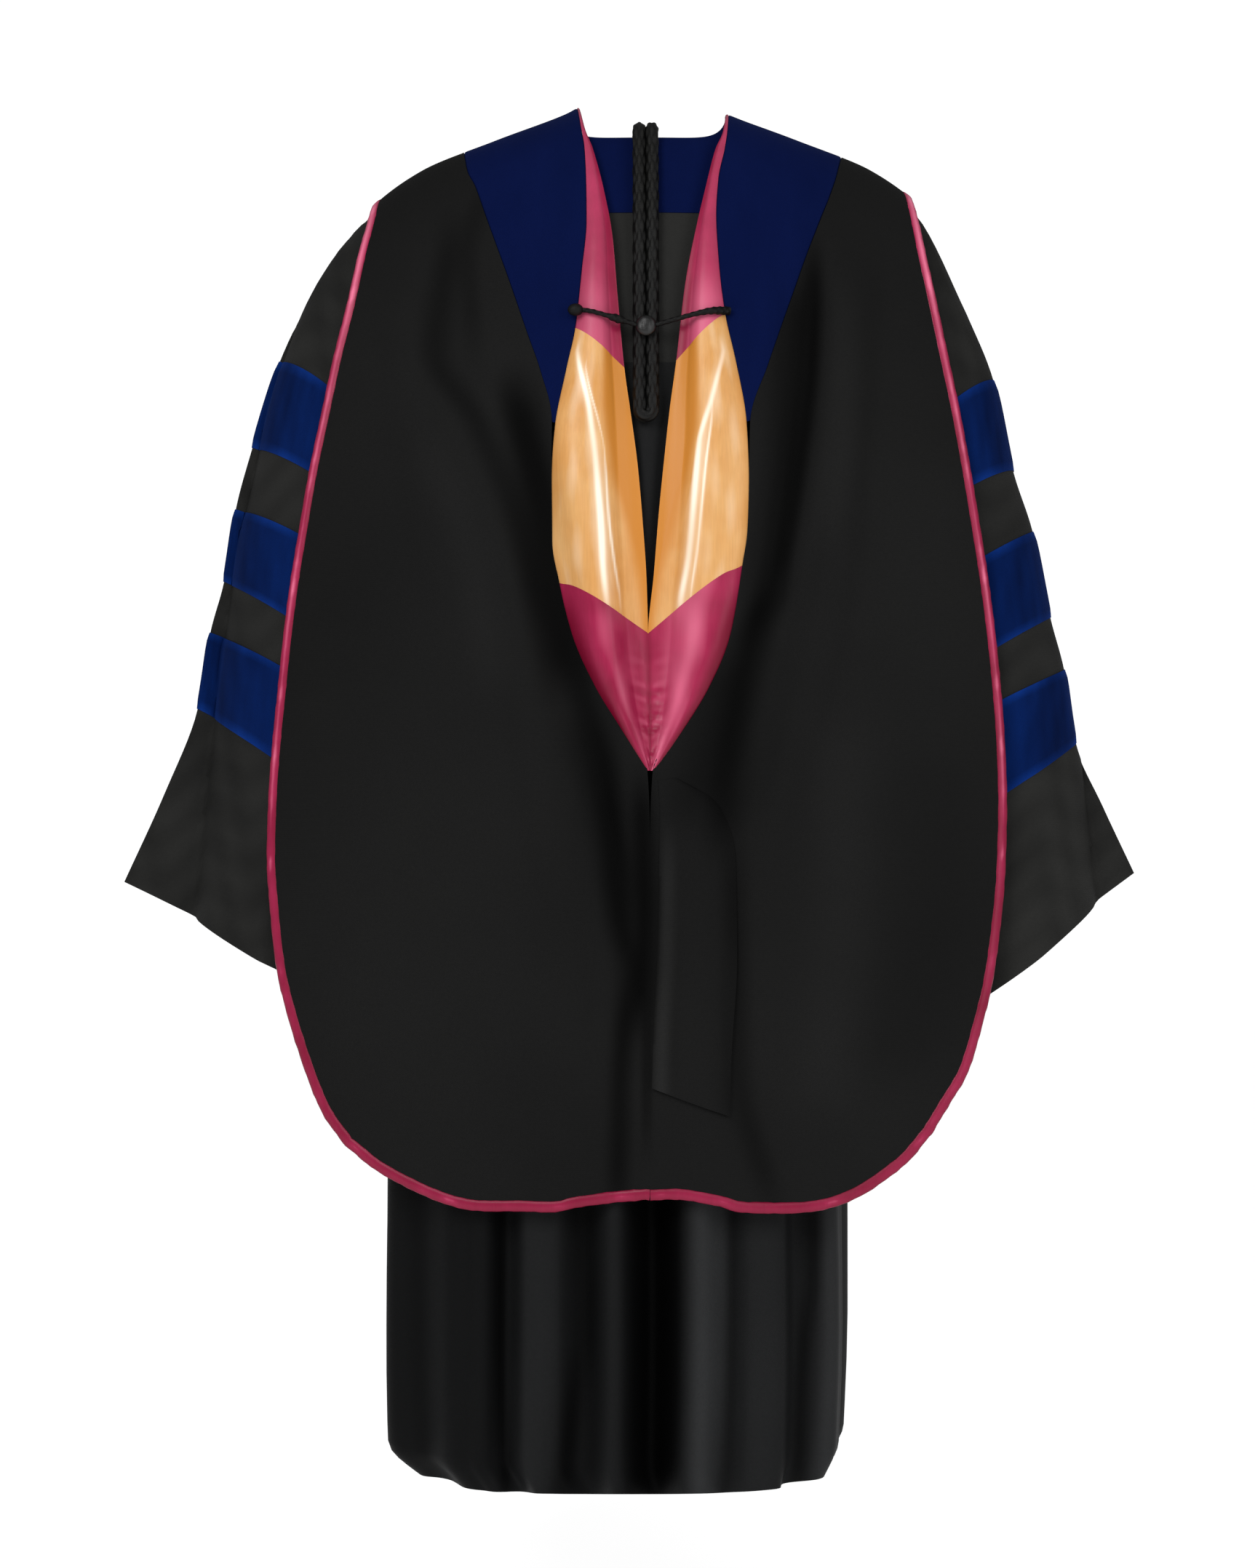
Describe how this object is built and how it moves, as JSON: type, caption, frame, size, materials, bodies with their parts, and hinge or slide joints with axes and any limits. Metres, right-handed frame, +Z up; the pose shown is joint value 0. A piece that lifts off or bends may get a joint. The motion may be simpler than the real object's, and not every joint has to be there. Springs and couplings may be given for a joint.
{
  "type": "doctoral graduation gown with hood",
  "caption": "Full-length black doctoral gown with bell sleeves and blue velvet bars, worn open at the neck, with a velvet-edged hood lined in pink and gold satin on its back.",
  "frame": {"origin": "middle of the neck opening, 20 mm below the gown's back neck edge", "axes": "+Z up, +X the wearer's right, +Y the wearer's front, so that the back with its hood faces -Y"},
  "size_m": [1.0372, 0.3318, 1.373],
  "materials": {
    "gown_cloth": "matte woven black",
    "velvet": "deep blue pile",
    "pink_satin": "glossy satin",
    "gold_satin": "glossy satin",
    "black_cord": "braided cord"
  },
  "bodies": {
    "root": {"back_yoke": "gown_cloth", "back_neck_velvet": "velvet", "back_panel": "gown_cloth", "front_left": "gown_cloth", "front_right": "gown_cloth", "front_velvet_left": "velvet", "front_velvet_right": "velvet", "sleeve_left": "gown_cloth", "sleeve_right": "gown_cloth", "sleeve_bar_left_1": "velvet", "sleeve_bar_left_2": "velvet", "sleeve_bar_left_3": "velvet", "sleeve_bar_right_1": "velvet", "sleeve_bar_right_2": "velvet", "sleeve_bar_right_3": "velvet", "hood_shell_left": "gown_cloth", "hood_velvet_left": "velvet", "hood_lining_left_upper": "pink_satin", "hood_lining_left_gold": "gold_satin", "hood_lining_left_lower": "pink_satin", "hood_edging_left": "pink_satin", "hood_shell_right": "gown_cloth", "hood_velvet_right": "velvet", "hood_lining_right_upper": "pink_satin", "hood_lining_right_gold": "gold_satin", "hood_lining_right_lower": "pink_satin", "hood_edging_right": "pink_satin", "hood_tail": "gown_cloth", "back_cord_loop": "black_cord", "back_button": "black_cord", "hood_knot_left": "black_cord", "hood_cord_left": "black_cord", "hood_cord_right": "black_cord"}
  },
  "joints": []
}
